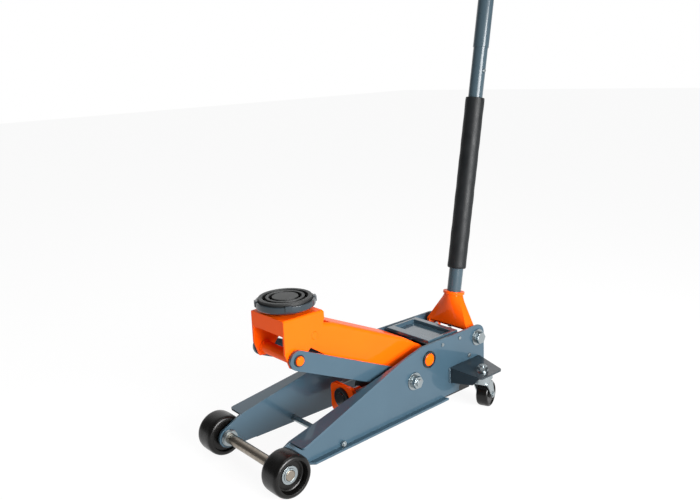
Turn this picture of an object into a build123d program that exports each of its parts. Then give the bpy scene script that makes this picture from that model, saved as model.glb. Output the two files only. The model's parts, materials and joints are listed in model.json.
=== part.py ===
from build123d import *
import os
from math import atan2, cos, degrees, hypot, radians, sin, tan

os.makedirs("parts", exist_ok=True)

# Hydraulic trolley jack with its lift arm partly raised. Millimetres, +X forward (towards
# the saddle), +Y left, +Z up, origin on the floor under the middle of the bounding box.
# "back" values are distances behind the front axle, "height" values are above the floor.

# Front wheels and axle
wheel_radius = 43.8
wheel_width = 49.0
wheel_outer = 141.5
wheel_recess = 14.0
wheel_shoulder = 8.0
axle_radius = 11.0
running_clearance = 0.05
thread_clearance = 0.05
plate_gap = 0.4

# Side plates: pressed steel, closer together at the rear
plate_thickness = 5.0
frame_half_front = 85.0
frame_half_rear = 74.0
frame_back = 629.5
frame_top = 169.0
frame_bottom = 20.0
frame_rear_bottom = 25.0
frame_nose_radius = 22.6
frame_front_angle = 26.0
flange_start_back = 33.0
flange_width_front = 46.0
flange_end_back = 345.0
flange_corner = 14.0
top_slope = 0.222
rear_corner_radius = 24.0
lip_start_back = 66.0
lip_end_back = 481.0
lip_width = 17.0
notch_front_back = 534.0
notch_rear_back = 574.0
notch_top = 42.0

# Lift arm: bell crank on a shaft through both side plates
arm_back = 432.0
arm_height = 134.0
arm_reach = 298.0
arm_rise = 134.0
arm_half_width = 47.0
arm_wall = 6.0
arm_above = 33.0
arm_below = 36.0
arm_nose_radius = 26.5
arm_heel_radius = 27.0
arm_edge_round = 9.0
shaft_radius = 14.5
bush_wall = 5.0
crank_radius = 80.0
crank_lobe_radius = 14.0
drive_pin_radius = 7.0
drive_pin_inner = 29.0

# Saddle bracket and saddle
pin_radius = 8.0
head_half_width = 56.0
head_wall = 6.0
head_top = 316.0
head_front_back = 60.0
head_rear_back = 161.0
head_front_plate_bottom = 283.0
link_pin_back = 84.5
link_pin_height = 231.5
link_pin_radius = 9.5
cross_tube_radius = 13.0
saddle_back = 108.0
saddle_radius = 61.0
saddle_top = 346.0
pad_radius = 55.0
pad_groove = 6.0
lug_width = 14.0
post_radius = 12.0

# Levelling links
link_wall = 6.0
link_gap = 4.0
link_half_depth = 20.5
link_bolt_radius = 8.0

# Hydraulic unit
cylinder_height = 78.0
cylinder_radius = 24.0
cylinder_front_back = 302.0
block_front_back = 498.0
block_rear_back = 590.0
block_half_width = 70.0
ram_radius = 14.0
crosshead_back = 241.0
crosshead_wall = 10.0
crosshead_half_width = 38.5
crosshead_bottom = 38.0
crosshead_top = 108.0
pull_bar_inner = 30.5
pull_bar_wall = 6.0
slot_slack = 1.6
crank_lift = 15.5

# Handle socket (yoke), pump and handle
yoke_back = 604.5
yoke_height = 139.0
yoke_lean = 10.55
handle_offset = 10.0
yoke_half_width = 64.0
yoke_depth = 32.0
yoke_wall = 7.0
yoke_skirt = 18.0
yoke_rear_skirt = 3.0
yoke_collar_start = 90.0
yoke_collar_end = 98.0
socket_radius = 23.0
collar_radius = 26.0
tube_radius = 17.0
tube_wall = 1.8
lower_tube_start = 60.0
lower_tube_end = 744.0
upper_tube_start = 684.0
upper_tube_end = 1060.0
upper_tube_radius = 18.5
grip_start = 156.0
grip_end = 567.0
grip_radius = 23.0
detent_distance = 630.0
pump_arm = 24.0
pump_offset = 25.0
pump_roller_radius = 8.0
yoke_bolt_radius = 8.0

# Casters
caster_back = 538.0
caster_side = 150.0
caster_trail = 20.0
caster_heading = 18.0
caster_wheel_radius = 30.0
caster_wheel_width = 28.0
caster_plate_top = 92.0
caster_plate_wall = 4.0
fork_inner_half = 15.5
fork_wall = 2.5
caster_axle_radius = 4.0

# Tie rod in front
tie_back = 165.0
tie_height = 31.0
tie_radius = 6.5
tie_stud_radius = 4.0

# Top cover with its tool tray
cover_front_back = 446.0
cover_rear_back = 546.0
cover_top = 171.0
cover_step_height = 166.0
cover_step_half_width = 68.5
tray_front_back = 466.0
tray_rear_back = 531.0
tray_half_width = 61.0
tray_depth = 9.0
sheet = 2.0

# Worked-out places
lean = radians(yoke_lean)
handle_reach = yoke_back + upper_tube_end * sin(lean) + (upper_tube_radius - handle_offset) * cos(lean)
axle_x = (handle_reach - wheel_radius) / 2
axle_height = wheel_radius
taper = atan2(frame_half_front - frame_half_rear, frame_back)
arm_length = hypot(arm_reach, arm_rise)
arm_angle = degrees(atan2(arm_rise, arm_reach))
head_pin_back = arm_back - arm_reach
head_pin_height = arm_height + arm_rise
link_bolt_back = link_pin_back + arm_reach
link_bolt_height = link_pin_height - arm_rise
link_inner = head_half_width + link_gap
link_outer = link_inner + link_wall
hub_face = wheel_outer - wheel_recess
drive_pin_height = arm_height - crank_radius


def fore(back):
    """X of a place so far behind the front axle."""
    return axle_x - back


def frame_inner(back):
    """Half the gap between the side plates at this distance behind the axle."""
    return frame_half_front - back * tan(taper)


def across(y):
    """Upright lengthwise plane at y; local x is forward, local y is up, normal is -Y."""
    return Plane(origin=(0, y, 0), x_dir=(1, 0, 0), z_dir=(0, -1, 0))


def cross_bar(back, height, radius, y_high, y_low, mode=Mode.ADD):
    """Add or cut a round bar along Y."""
    with BuildSketch(across(y_high)) as section:
        with Locations((fore(back), height)):
            Circle(radius)
    extrude(section.sketch, amount=y_high - y_low, mode=mode)


def length_bar(back_front, back_rear, y, height, radius, mode=Mode.ADD):
    """Add or cut a round bar along X."""
    start = Plane(origin=(fore(back_rear), y, height), x_dir=(0, 1, 0), z_dir=(1, 0, 0))
    with BuildSketch(start) as section:
        Circle(radius)
    extrude(section.sketch, amount=back_rear - back_front, mode=mode)


def block(back_front, back_rear, y_low, y_high, z_low, z_high, mode=Mode.ADD):
    """Add or cut a box between the given limits."""
    with BuildSketch(Plane.XY.offset(z_low)) as section:
        with Locations(((fore(back_front) + fore(back_rear)) / 2, (y_low + y_high) / 2)):
            Rectangle(back_rear - back_front, y_high - y_low)
    extrude(section.sketch, amount=z_high - z_low, mode=mode)


def hex_bar(back, height, radius, y_high, y_low):
    """Add a hexagonal nut or head whose axis is along Y."""
    with BuildSketch(across(y_high)) as section:
        with Locations((fore(back), height)):
            RegularPolygon(radius, 6, major_radius=False)
    extrude(section.sketch, amount=y_high - y_low)


def save(builder, name):
    """Label a finished piece and write it."""
    builder.part.label = name
    export_step(builder.part, f"parts/{name}.step")


def save_pair(builder, name):
    """Write a left piece and its mirror image as the right one."""
    save(builder, f"{name}_left")
    with BuildPart() as right:
        mirror(builder.part, about=Plane.XZ)
    save(right, f"{name}_right")


# ---------------------------------------------------------------- side plates
# Local x of the plate plane runs rearwards along the plate, local y is up.
plate_plane = Plane(
    origin=(axle_x, frame_half_front, 0),
    x_dir=(-cos(taper), -sin(taper), 0),
    z_dir=(-sin(taper), cos(taper), 0),
)


def top_line(back):
    """Height of the sloping top edge of a side plate."""
    return flange_corner_height + (back - flange_start_back) * top_slope


front_angle = radians(frame_front_angle)
nose_top = (-frame_nose_radius * sin(front_angle), axle_height + frame_nose_radius * cos(front_angle))
flange_corner_height = nose_top[1] + (flange_start_back - nose_top[0]) * tan(front_angle)
slope_end_back = flange_start_back + (frame_top - flange_corner_height) / top_slope

with BuildPart() as side_plate:
    with BuildSketch(plate_plane):
        with BuildLine():
            Polyline(
                nose_top,
                (flange_start_back, flange_corner_height),
                (slope_end_back, frame_top),
                (frame_back, frame_top),
                (frame_back, frame_rear_bottom),
                (notch_rear_back, frame_rear_bottom),
                (notch_rear_back - 4, notch_top),
                (notch_front_back + 4, notch_top),
                (notch_front_back, frame_rear_bottom),
                (lip_end_back + 5, frame_rear_bottom),
                (lip_end_back, frame_bottom),
                (0, axle_height - frame_nose_radius),
                nose_top,
            )
        make_face()
        with Locations((0, axle_height)):
            Circle(frame_nose_radius)
    extrude(amount=plate_thickness)
    fillet(side_plate.edges().filter_by(Axis.Y, tolerance=2).group_by(Axis.X)[0].sort_by(Axis.Z)[-1],
           rear_corner_radius)
    slope = atan2(top_slope, 1)
    flange_run = (flange_end_back - flange_start_back) / cos(slope)
    flange_origin = plate_plane.from_local_coords(Vector(flange_start_back, flange_corner_height, 0))
    along = plate_plane.from_local_coords(
        Vector(flange_start_back + 1, flange_corner_height + top_slope, 0)) - flange_origin
    flange_plane = Plane(origin=flange_origin, x_dir=along, z_dir=along.cross(plate_plane.z_dir))
    with BuildSketch(flange_plane):
        with BuildLine():
            Polyline((0, 0), (flange_run, 0), (flange_run, plate_thickness),
                     (18, flange_width_front - 2.5), (0, flange_width_front), (0, 0))
        make_face()
        fillet(vertices().group_by(Axis.Y)[-1], 7)
    extrude(amount=plate_thickness)
    lip_plane = Plane(
        origin=plate_plane.from_local_coords(Vector(0, frame_bottom, 0)),
        x_dir=plate_plane.x_dir, z_dir=(0, 0, -1))
    with BuildSketch(lip_plane):
        Polygon((lip_start_back, 0), (lip_end_back, 0), (lip_end_back + 4, lip_width),
                (lip_start_back + 18, lip_width), align=None)
    extrude(amount=-plate_thickness)
    cross_bar(0, axle_height, axle_radius + 0.3, 110, 60, Mode.SUBTRACT)
    cross_bar(tie_back, tie_height, tie_stud_radius + 0.4, 110, 60, Mode.SUBTRACT)
    cross_bar(arm_back, arm_height, shaft_radius + bush_wall, 110, 60, Mode.SUBTRACT)
    cross_bar(link_bolt_back, link_bolt_height, link_bolt_radius + 0.4, 110, 60, Mode.SUBTRACT)
    cross_bar(yoke_back, yoke_height, yoke_bolt_radius + 0.4, 110, 60, Mode.SUBTRACT)
    cross_bar(573, 102, 5.4, 110, 60, Mode.SUBTRACT)
save_pair(side_plate, "side_plate")


# ---------------------------------------------------------------- front axle and wheels
with BuildPart() as front_axle:
    cross_bar(0, axle_height, axle_radius, hub_face + 4, -hub_face - 4)
    chamfer(front_axle.edges().filter_by(GeomType.CIRCLE), 1.2)
save(front_axle, "front_axle")

collar_outer = axle_radius + 4.5
with BuildPart() as axle_rings:
    for side in (1, -1):
        inboard = frame_inner(0) - plate_gap
        outboard = frame_inner(0) + plate_thickness + plate_gap
        inner_pair = sorted((side * inboard, side * (inboard - 7)))
        outer_pair = sorted((side * outboard, side * (wheel_outer - wheel_width - plate_gap)))
        for low, high in (inner_pair, outer_pair):
            cross_bar(0, axle_height, collar_outer, high, low)
    for side in (1, -1):
        for start, width, radius in ((hub_face + 0.3, 1.6, 18.5), (hub_face + 2.2, 1.2, 14.0)):
            low, high = sorted((side * start, side * (start + width)))
            cross_bar(0, axle_height, radius, high, low)
    cross_bar(0, axle_height, axle_radius, hub_face + 5, -hub_face - 5, Mode.SUBTRACT)
save(axle_rings, "axle_rings")

with BuildPart() as front_wheel:
    cross_bar(0, axle_height, wheel_radius, wheel_outer, wheel_outer - wheel_width)
    fillet(front_wheel.edges().filter_by(GeomType.CIRCLE), wheel_shoulder)
    cross_bar(0, axle_height, wheel_radius - 11, wheel_outer + 1, hub_face, Mode.SUBTRACT)
    cross_bar(0, axle_height, wheel_radius - 11, wheel_outer - wheel_width + 5,
              wheel_outer - wheel_width - 1, Mode.SUBTRACT)
    cross_bar(0, axle_height, axle_radius + 7, wheel_outer - wheel_width + 5, wheel_outer - wheel_width)
    cross_bar(0, axle_height, axle_radius + running_clearance, 200, 60, Mode.SUBTRACT)
save_pair(front_wheel, "front_wheel")


# ---------------------------------------------------------------- tie rod
tie_outside = frame_inner(tie_back) + plate_thickness + plate_gap
tie_shoulder = frame_inner(tie_back) - 2 * plate_gap
with BuildPart() as tie_rod:
    for side in (1, -1):
        low, high = sorted((side * tie_outside, side * (tie_outside + 6)))
        hex_bar(tie_back, tie_height, 5.8, high, low)
    cross_bar(tie_back, tie_height, tie_stud_radius + thread_clearance, 120, -120, Mode.SUBTRACT)
    cross_bar(tie_back, tie_height, tie_stud_radius, tie_outside + 8, -tie_outside - 8)
    cross_bar(tie_back, tie_height, tie_radius, tie_shoulder, -tie_shoulder)
save(tie_rod, "tie_rod")


# ---------------------------------------------------------------- lift arm
# Local x of the arm plane runs from the shaft to the head pin, local y is square to it.
arm_turn = radians(arm_angle)


def arm_side(y):
    """Lengthwise plane at y, centred on the arm shaft and turned to lie along the arm."""
    return Plane(origin=(fore(arm_back), y, arm_height),
                 x_dir=(cos(arm_turn), 0, sin(arm_turn)), z_dir=(0, -1, 0))


with BuildPart() as lift_arm:
    with BuildSketch(arm_side(arm_half_width)):
        with BuildLine():
            Polyline((0, arm_heel_radius), (0, -arm_below), (268, -arm_below - 0.5),
                     (arm_length - 6, -26), (arm_length, 0), (arm_length, arm_nose_radius))
            Spline((arm_length, arm_nose_radius), (arm_length - 60, arm_above),
                   tangents=[(-1, 0), (-1, 0)])
            Line((arm_length - 60, arm_above), (60, arm_above))
            Spline((60, arm_above), (0, arm_heel_radius), tangents=[(-1, 0), (-1, 0)])
        make_face()
        with Locations((arm_length, 0)):
            Circle(arm_nose_radius)
        Circle(arm_heel_radius)
    extrude(amount=2 * arm_half_width)
    top_edges = lift_arm.edges().filter_by(
        lambda e: abs(abs(e.center().Y) - arm_half_width) < 0.01
        and 160 < e.length < arm_length
        and abs((e @ 0.5 - Vector(fore(arm_back), (e @ 0.5).Y, arm_height)).dot(
            Vector(-sin(arm_turn), 0, cos(arm_turn))) - arm_above) < 0.5)
    fillet(top_edges, arm_edge_round)
    arm_inner = arm_half_width - arm_wall
    with BuildSketch(arm_side(arm_inner)):
        with BuildLine():
            Polyline((-60, -90), (arm_length + 60, -90), (arm_length + 60, 60), (arm_length - 42, 60),
                     (arm_length - 42, arm_above - arm_wall), (52, arm_above - arm_wall),
                     (52, 60), (-60, 60), (-60, -90))
        make_face()
    extrude(amount=2 * arm_inner, mode=Mode.SUBTRACT)
    for high in (arm_half_width, -arm_inner):
        with BuildSketch(across(high)) as lobe:
            with Locations((fore(arm_back), drive_pin_height)):
                Circle(crank_lobe_radius)
            Polygon(
                (fore(arm_back - 26), arm_height), (fore(arm_back + 24), arm_height),
                (fore(arm_back + crank_lobe_radius), drive_pin_height),
                (fore(arm_back - crank_lobe_radius), drive_pin_height), align=None)
        extrude(lobe.sketch, amount=arm_wall)
    cross_bar(arm_back, arm_height, shaft_radius, 60, -60, Mode.SUBTRACT)
    cross_bar(arm_back, drive_pin_height, drive_pin_radius, 60, -60, Mode.SUBTRACT)
    cross_bar(head_pin_back, head_pin_height, pin_radius + running_clearance, 60, -60, Mode.SUBTRACT)
save(lift_arm, "lift_arm")

shaft_end = frame_inner(arm_back) + plate_thickness + 4
with BuildPart() as arm_shaft:
    cross_bar(arm_back, arm_height, shaft_radius, shaft_end, -shaft_end)
    chamfer(arm_shaft.edges().filter_by(GeomType.CIRCLE), 2.0)
save(arm_shaft, "arm_shaft")

with BuildPart() as drive_pins:
    cross_bar(arm_back, drive_pin_height, drive_pin_radius, arm_half_width, drive_pin_inner)
    cross_bar(arm_back, drive_pin_height, drive_pin_radius, -drive_pin_inner, -arm_half_width)
save(drive_pins, "drive_pins")

with BuildPart() as arm_nose_tube:
    cross_bar(head_pin_back, head_pin_height, pin_radius + 5, arm_inner, -arm_inner)
    cross_bar(head_pin_back, head_pin_height, pin_radius + running_clearance, 60, -60, Mode.SUBTRACT)
save(arm_nose_tube, "arm_nose_tube")

bush_outer = shaft_radius + bush_wall
with BuildPart() as shaft_bushes:
    for side in (1, -1):
        near = frame_inner(arm_back) - 1.0
        low, high = sorted((side * near, side * (shaft_end - 0.5)))
        cross_bar(arm_back, arm_height, bush_outer - 0.1, high, low)
    cross_bar(arm_back, arm_height, shaft_radius + running_clearance, 120, -120, Mode.SUBTRACT)
save(shaft_bushes, "shaft_bushes")


# ---------------------------------------------------------------- saddle bracket
with BuildPart() as saddle_bracket:
    with BuildSketch(across(head_half_width)):
        with BuildLine():
            Polyline(
                (fore(head_front_back), head_top), (fore(head_rear_back - 3), head_top),
                (fore(head_rear_back), head_top - 5), (fore(head_rear_back), 300),
                (fore(150), 264), (fore(123), 246), (fore(114), 238),
                (fore(link_pin_back + 18), link_pin_height - 8),
                (fore(link_pin_back), link_pin_height - 18),
                (fore(link_pin_back - 14), link_pin_height - 16),
                (fore(head_front_back - 1), link_pin_height + 16),
                (fore(head_front_back), head_top),
            )
        make_face()
    extrude(amount=2 * head_half_width)
    fillet(saddle_bracket.edges().filter_by(Axis.X).group_by(Axis.Z)[-1], 4)
    head_inner = head_half_width - head_wall
    block(head_front_back + head_wall, 260, -head_inner, head_inner, 150, head_top - head_wall,
          Mode.SUBTRACT)
    block(0, head_front_back + head_wall + 1, -head_inner, head_inner, 150, head_front_plate_bottom,
          Mode.SUBTRACT)
    cross_bar(head_pin_back, head_pin_height, pin_radius, 60, -60, Mode.SUBTRACT)
    cross_bar(link_pin_back, link_pin_height, link_pin_radius, 60, -60, Mode.SUBTRACT)
    with BuildSketch(Plane.XY.offset(head_top - head_wall - 1)) as post_hole:
        with Locations((fore(saddle_back), 0)):
            Circle(post_radius + running_clearance)
    extrude(post_hole.sketch, amount=head_wall + 2, mode=Mode.SUBTRACT)
save(saddle_bracket, "saddle_bracket")

with BuildPart() as head_pin:
    cross_bar(head_pin_back, head_pin_height, pin_radius, head_half_width, -head_half_width)
save(head_pin, "head_pin")

with BuildPart() as head_cross_tube:
    cross_bar(link_pin_back, link_pin_height, cross_tube_radius, head_inner, -head_inner)
    cross_bar(link_pin_back, link_pin_height, link_pin_radius, 60, -60, Mode.SUBTRACT)
save(head_cross_tube, "head_cross_tube")

link_pin_end = link_outer + 5
with BuildPart() as link_pin:
    cross_bar(link_pin_back, link_pin_height, link_pin_radius, link_pin_end, -link_pin_end)
    chamfer(link_pin.edges().filter_by(GeomType.CIRCLE), 1.0)
save(link_pin, "link_pin")

with BuildPart() as link_washers:
    for low in (head_half_width, -link_inner + 0.3):
        cross_bar(link_pin_back, link_pin_height, 15, low + link_gap - 0.3, low)
    for low in (link_outer + 0.4, -link_outer - 1.6):
        cross_bar(link_pin_back, link_pin_height, link_pin_radius + 3, low + 1.2, low)
    cross_bar(link_pin_back, link_pin_height, link_pin_radius, 80, -80, Mode.SUBTRACT)
save(link_washers, "link_washers")


# ---------------------------------------------------------------- saddle
def turned(profile):
    """Revolve a profile of (radius, height) points about the saddle's own axis."""
    with BuildSketch(Plane(origin=(fore(saddle_back), 0, 0), x_dir=(1, 0, 0), z_dir=(0, -1, 0))) as section:
        with BuildLine():
            Polyline(*profile, profile[0])
        make_face()
    revolve(section.sketch, axis=Axis((fore(saddle_back), 0, 0), (0, 0, 1)))


dish_floor = head_top + 0.4
dish_seat = dish_floor + 7
dish_rim = saddle_top - 6
with BuildPart() as saddle_dish:
    turned([(post_radius, dish_floor), (36, dish_floor), (saddle_radius - 3, dish_floor + 9),
            (saddle_radius, dish_floor + 12), (saddle_radius, dish_rim), (pad_radius + 0.5, dish_rim),
            (pad_radius + 0.5, dish_floor + 15), (34, dish_seat), (post_radius, dish_seat)])
    with BuildSketch(Plane.XY.offset(dish_floor + 14)):
        with Locations((fore(saddle_back), 0)):
            with PolarLocations((saddle_radius + pad_radius + 2.5) / 2, 4, start_angle=60):
                Rectangle(saddle_radius - pad_radius + 1, lug_width)
    extrude(amount=dish_rim + 2 - dish_floor - 14)
save(saddle_dish, "saddle_dish")

groove_floor = saddle_top - pad_groove
with BuildPart() as saddle_pad:
    turned([(0, dish_seat), (34, dish_seat), (pad_radius, dish_floor + 15), (pad_radius, saddle_top - 1),
            (pad_radius - 1, saddle_top), (46.5, saddle_top), (45.8, groove_floor), (40.3, groove_floor),
            (39.6, saddle_top), (33.5, saddle_top), (32.8, groove_floor), (27.5, groove_floor),
            (26.8, saddle_top), (0, saddle_top)])
save(saddle_pad, "saddle_pad")

saddle_nut_bottom = 300.5
with BuildPart() as saddle_post:
    with BuildSketch(Plane.XY.offset(saddle_nut_bottom)):
        with Locations((fore(saddle_back), 0)):
            RegularPolygon(17, 6, major_radius=False)
            Circle(post_radius + thread_clearance, mode=Mode.SUBTRACT)
    extrude(amount=head_top - head_wall - 0.4 - saddle_nut_bottom)
    turned([(0, 300), (post_radius, 300), (post_radius, dish_seat), (0, dish_seat)])
save(saddle_post, "saddle_post")


# ---------------------------------------------------------------- levelling links
with BuildPart() as link:
    with BuildSketch(across(link_outer)):
        for back, height in ((link_pin_back, link_pin_height), (link_bolt_back, link_bolt_height)):
            with Locations((fore(back), height)):
                Circle(link_half_depth)
        make_hull()
    extrude(amount=link_wall)
    cross_bar(link_pin_back, link_pin_height, link_pin_radius + running_clearance, 80, 50, Mode.SUBTRACT)
    cross_bar(link_bolt_back, link_bolt_height, link_bolt_radius + running_clearance, 80, 50,
              Mode.SUBTRACT)
save_pair(link, "level_link")

bolt_frame_face = frame_inner(link_bolt_back) + plate_thickness + 0.6
with BuildPart() as link_bolts:
    for side in (1, -1):
        low, high = sorted((side * (link_inner - 5), side * (bolt_frame_face + 18)))
        cross_bar(link_bolt_back, link_bolt_height, link_bolt_radius, high, low)
        low, high = sorted((side * (link_inner - 0.4), side * (link_inner - 5)))
        cross_bar(link_bolt_back, link_bolt_height, 12, high, low)
        low, high = sorted((side * (bolt_frame_face + 4.2), side * (bolt_frame_face + 14)))
        hex_bar(link_bolt_back, link_bolt_height, 13.0, high, low)
save(link_bolts, "link_bolts")


# ---------------------------------------------------------------- handle planes
# Local z of the handle planes runs up the handle's own axis, which passes ahead of the hinge.
handle_axis = Vector(-sin(lean), 0, cos(lean))
handle_forward = Vector(cos(lean), 0, sin(lean))


def up_handle(distance):
    """Plane square to the handle at this distance above the hinge, local x forward."""
    hinge = Vector(fore(yoke_back), 0, yoke_height)
    origin = hinge + handle_forward * handle_offset + handle_axis * distance
    return Plane(origin=origin, x_dir=handle_forward, z_dir=handle_axis)


def handle_bar(start, end, radius, mode=Mode.ADD):
    """Add or cut a round bar along the handle."""
    with BuildSketch(up_handle(start)) as section:
        Circle(radius)
    extrude(section.sketch, amount=end - start, mode=mode)


# ---------------------------------------------------------------- hydraulic unit
pump_height = yoke_height - pump_arm
barrel_front_back = 530.0
barrel_rear_back = 556.0
head_gap = 0.5
plunger_head_back = yoke_back - pump_roller_radius - head_gap
valve_tip = -82.0
valve_rod_radius = 4.5
with BuildPart() as power_unit:
    block(block_front_back, block_rear_back, -block_half_width, block_half_width, 14, 70)
    block(block_front_back + 6, 560, -52, 52, 70, 128)
    fillet(power_unit.edges().filter_by(Axis.Z), 8)
    fillet(power_unit.edges().group_by(Axis.Z)[-1], 5)
    length_bar(block_front_back - 1, block_front_back + 20, 0, cylinder_height, cylinder_radius, Mode.SUBTRACT)
    length_bar(barrel_front_back - 8, 562, pump_offset, pump_height, 6.05, Mode.SUBTRACT)
    cross_bar(573, 55, 5, 80, -80, Mode.SUBTRACT)
    handle_bar(valve_tip - 2, 0, valve_rod_radius + running_clearance, Mode.SUBTRACT)
save(power_unit, "power_unit")

with BuildPart() as cylinder:
    length_bar(cylinder_front_back, block_front_back + 20, 0, cylinder_height, cylinder_radius)
    length_bar(cylinder_front_back - 1, 470, 0, cylinder_height, ram_radius + running_clearance,
               Mode.SUBTRACT)
save(cylinder, "cylinder")

with BuildPart() as cylinder_gland:
    length_bar(cylinder_front_back, cylinder_front_back + 16, 0, cylinder_height, cylinder_radius + 4)
    length_bar(cylinder_front_back - 1, cylinder_front_back + 17, 0, cylinder_height, cylinder_radius,
               Mode.SUBTRACT)
save(cylinder_gland, "cylinder_gland")

with BuildPart() as ram:
    length_bar(crosshead_back - 6, cylinder_front_back + 70, 0, cylinder_height, ram_radius)
save(ram, "ram")

with BuildPart() as crosshead:
    face_plane = Plane(origin=(fore(crosshead_back + crosshead_wall), 0, 0), x_dir=(0, 1, 0), z_dir=(1, 0, 0))
    with BuildSketch(face_plane):
        with Locations((0, (crosshead_bottom + crosshead_top) / 2)):
            RectangleRounded(2 * crosshead_half_width, crosshead_top - crosshead_bottom, 14)
        with Locations((0, cylinder_height)):
            Circle(cylinder_radius, mode=Mode.SUBTRACT)
    extrude(amount=crosshead_wall)
save(crosshead, "crosshead")

with BuildPart() as ram_nut:
    length_bar(crosshead_back - 5, crosshead_back + crosshead_wall + 3, 0, cylinder_height, cylinder_radius)
    fillet(ram_nut.edges().filter_by(GeomType.CIRCLE).group_by(Axis.X)[-1], 4)
    length_bar(crosshead_back - 8, crosshead_back + 30, 0, cylinder_height, ram_radius, Mode.SUBTRACT)
save(ram_nut, "ram_nut")

slot_half = drive_pin_radius + slot_slack
with BuildPart() as pull_bar:
    with BuildSketch(across(pull_bar_inner + pull_bar_wall)):
        with Locations(((fore(crosshead_back + crosshead_wall) + fore(arm_back)) / 2, drive_pin_height)):
            Rectangle(arm_back - crosshead_back - crosshead_wall, 22)
        with Locations((fore(arm_back), drive_pin_height + crank_lift / 2)):
            RectangleRounded(2 * slot_half + 16, crank_lift + 2 * slot_half + 14, 8)
        with Locations((fore(arm_back), drive_pin_height + crank_lift / 2)):
            SlotOverall(crank_lift + 2 * slot_half, 2 * slot_half, rotation=90, mode=Mode.SUBTRACT)
    extrude(amount=pull_bar_wall)
with BuildPart() as pull_bars:
    add(pull_bar.part)
    mirror(pull_bar.part, about=Plane.XZ)
save(pull_bars, "pull_bars")

with BuildPart() as spring_anchor:
    anchor_plane = Plane(origin=(fore(410), 0, 0), x_dir=(0, 1, 0), z_dir=(1, 0, 0))
    with BuildSketch(anchor_plane):
        with Locations((0, cylinder_height)):
            Circle(cylinder_radius + 4)
        with Locations((0, 98)):
            RectangleRounded(76, 14, 4)
        with Locations((0, cylinder_height)):
            Circle(cylinder_radius, mode=Mode.SUBTRACT)
    extrude(amount=4)
save(spring_anchor, "spring_anchor")

spring_front_back = crosshead_back + crosshead_wall
spring_rear_back = 406.0
with BuildPart() as return_springs:
    for y in (31, -31):
        length_bar(spring_front_back, spring_rear_back, y, 98, 4.5)
save(return_springs, "return_springs")

with BuildPart() as pump_barrel:
    length_bar(barrel_rear_back + 4, barrel_rear_back + 12, pump_offset, pump_height, 12)
    length_bar(barrel_rear_back, barrel_rear_back + 13, pump_offset, pump_height, 6.05, Mode.SUBTRACT)
save(pump_barrel, "pump_barrel")

with BuildPart() as pump_plunger:
    length_bar(barrel_front_back + 22, plunger_head_back, pump_offset, pump_height, 6)
    length_bar(plunger_head_back - 4, plunger_head_back, pump_offset, pump_height, 10)
save(pump_plunger, "pump_plunger")

with BuildPart() as pump_spring:
    length_bar(barrel_rear_back + 12, plunger_head_back - 4, pump_offset, pump_height, 9)
    length_bar(barrel_rear_back + 11, plunger_head_back, pump_offset, pump_height, 6.3, Mode.SUBTRACT)
save(pump_spring, "pump_spring")

with BuildPart() as unit_bolts:
    for side in (1, -1):
        face = frame_inner(573) + plate_thickness + 0.5
        low, high = sorted((side * face, side * (face + 2)))
        cross_bar(573, 102, 5, high, low)
        low, high = sorted((side * face, side * (frame_inner(573) - 5)))
        cross_bar(573, 102, 4, high, low)
        low, high = sorted((side * block_half_width, side * (frame_inner(573) - 0.5)))
        cross_bar(573, 55, 9, high, low)
    with BuildSketch(Plane.XY.offset(128)):
        with Locations((fore(530), -20)):
            RegularPolygon(8, 6)
    extrude(amount=6)
save(unit_bolts, "unit_bolts")


# ---------------------------------------------------------------- handle socket
with BuildPart() as handle_yoke:
    with BuildSketch(up_handle(yoke_skirt)):
        Rectangle(yoke_depth, 2 * yoke_half_width)
    with BuildSketch(up_handle(yoke_collar_start)):
        Circle(socket_radius)
    loft()
    with BuildSketch(up_handle(yoke_skirt)) as inner_base:
        Rectangle(yoke_depth - 2 * yoke_wall, 2 * (yoke_half_width - yoke_wall))
    with BuildSketch(up_handle(yoke_collar_start - 14)) as inner_top:
        Circle(socket_radius - yoke_wall)
    loft([inner_base.sketch, inner_top.sketch], mode=Mode.SUBTRACT)
    with BuildSketch(up_handle(yoke_rear_skirt)) as rear_skirt:
        with Locations(((yoke_wall - yoke_depth) / 2, 0)):
            Rectangle(yoke_wall, 2 * yoke_half_width)
    extrude(rear_skirt.sketch, amount=yoke_skirt + 1 - yoke_rear_skirt)
    handle_bar(yoke_skirt + 2, yoke_collar_end - 6, socket_radius)
    handle_bar(yoke_collar_end - 6, yoke_collar_end, collar_radius)
    for high in (yoke_half_width, -yoke_half_width + yoke_wall):
        with BuildSketch(across(high)) as cheek:
            with Locations((fore(yoke_back), yoke_height)):
                Circle(20)
                with Locations(Location((0, 0), yoke_lean)):
                    with Locations((handle_offset, yoke_skirt)):
                        Rectangle(yoke_depth, 2)
            make_hull()
            with Locations((fore(yoke_back), yoke_height - pump_arm)):
                Circle(11)
            with Locations((fore(yoke_back), yoke_height - pump_arm / 2)):
                Rectangle(22, pump_arm)
        extrude(cheek.sketch, amount=yoke_wall)
    handle_bar(lower_tube_start - 1, yoke_collar_end + 1, tube_radius + running_clearance, Mode.SUBTRACT)
    handle_bar(yoke_skirt - 2, lower_tube_start, tube_radius - 2, Mode.SUBTRACT)
    cross_bar(yoke_back, yoke_height, yoke_bolt_radius + running_clearance, 100, -100, Mode.SUBTRACT)
    cross_bar(yoke_back, yoke_height - pump_arm, 5, yoke_half_width, yoke_half_width - yoke_wall - 1,
              Mode.SUBTRACT)
save(handle_yoke, "handle_yoke")

with BuildPart() as roller_pin:
    cross_bar(yoke_back, pump_height, 5, yoke_half_width, pump_offset - 11)
save(roller_pin, "roller_pin")

with BuildPart() as pump_roller:
    cross_bar(yoke_back, pump_height, pump_roller_radius, pump_offset + 7, pump_offset - 7)
    cross_bar(yoke_back, pump_height, 5, 60, 0, Mode.SUBTRACT)
save(pump_roller, "pump_roller")

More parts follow.
